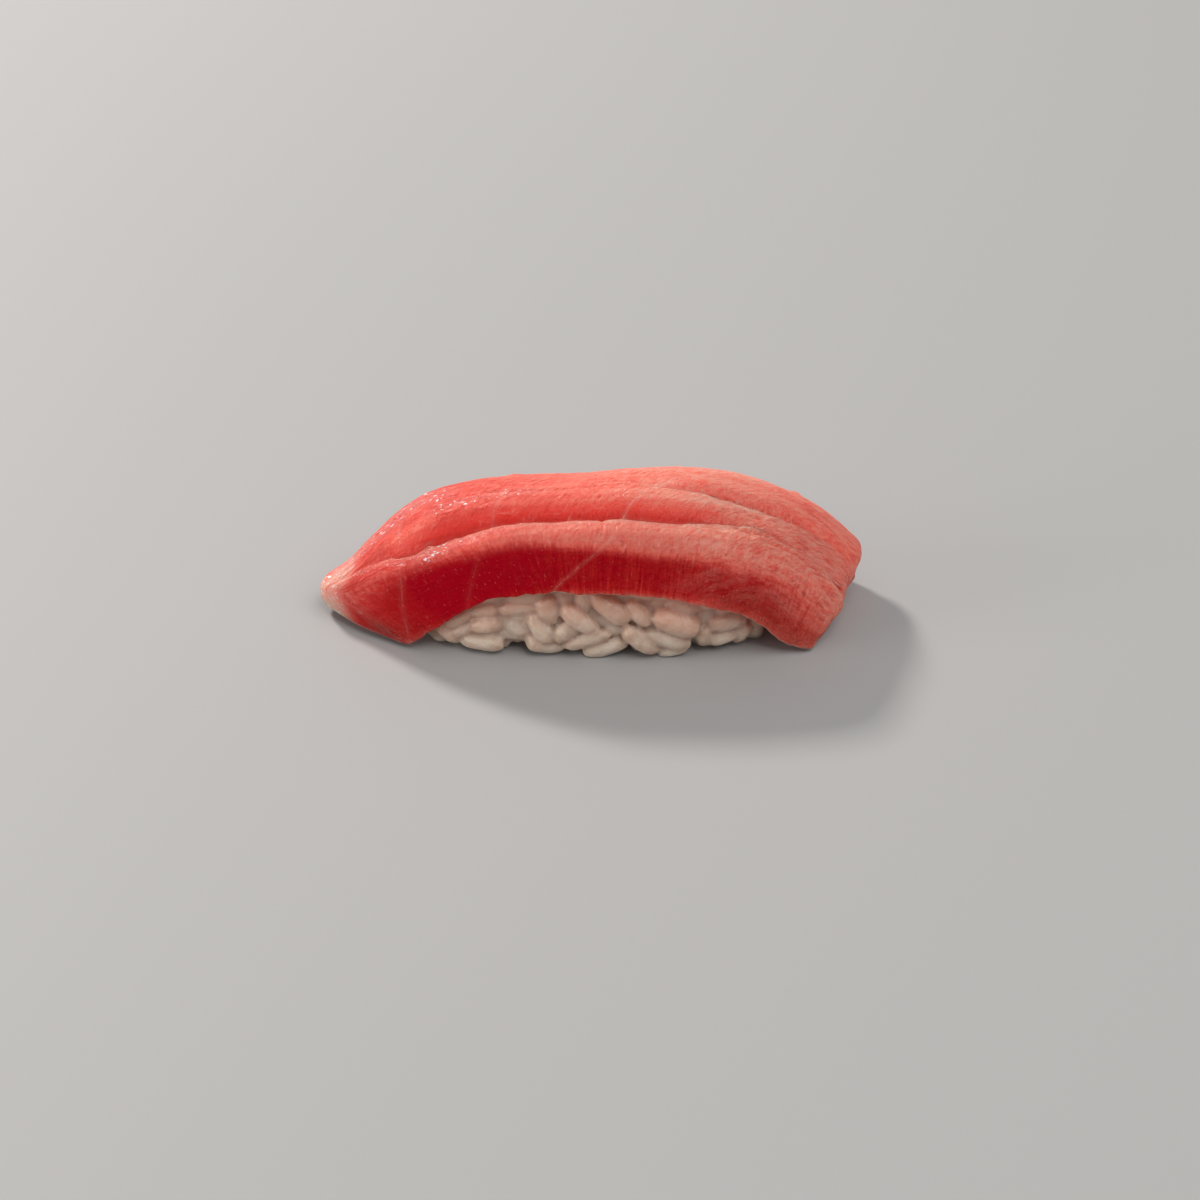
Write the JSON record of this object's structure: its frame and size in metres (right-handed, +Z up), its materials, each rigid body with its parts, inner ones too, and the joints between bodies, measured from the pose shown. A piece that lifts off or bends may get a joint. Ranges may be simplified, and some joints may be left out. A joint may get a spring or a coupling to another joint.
{
  "type": "tuna nigiri",
  "caption": "Hand-pressed bed of rice under a draped slice of fatty tuna, scored lengthwise: one piece of sushi that lies flat on a plate.",
  "frame": {"origin": "middle of the footprint, on the surface the rice stands on", "axes": "+X along the slice from its pointed end to its blunt end, -Y the side where the rice shows most, +Z up"},
  "size_m": [0.0776, 0.0264, 0.0226],
  "materials": {
    "cooked_rice": "cooked short-grain rice, off-white, translucent and a little glossy",
    "raw_tuna": "raw fatty tuna, wet: deep red in the lean, pale pink at the blunt end, with fine white sinew lines"
  },
  "bodies": {
    "root": {"rice": "cooked_rice", "tuna": "raw_tuna"}
  },
  "joints": []
}
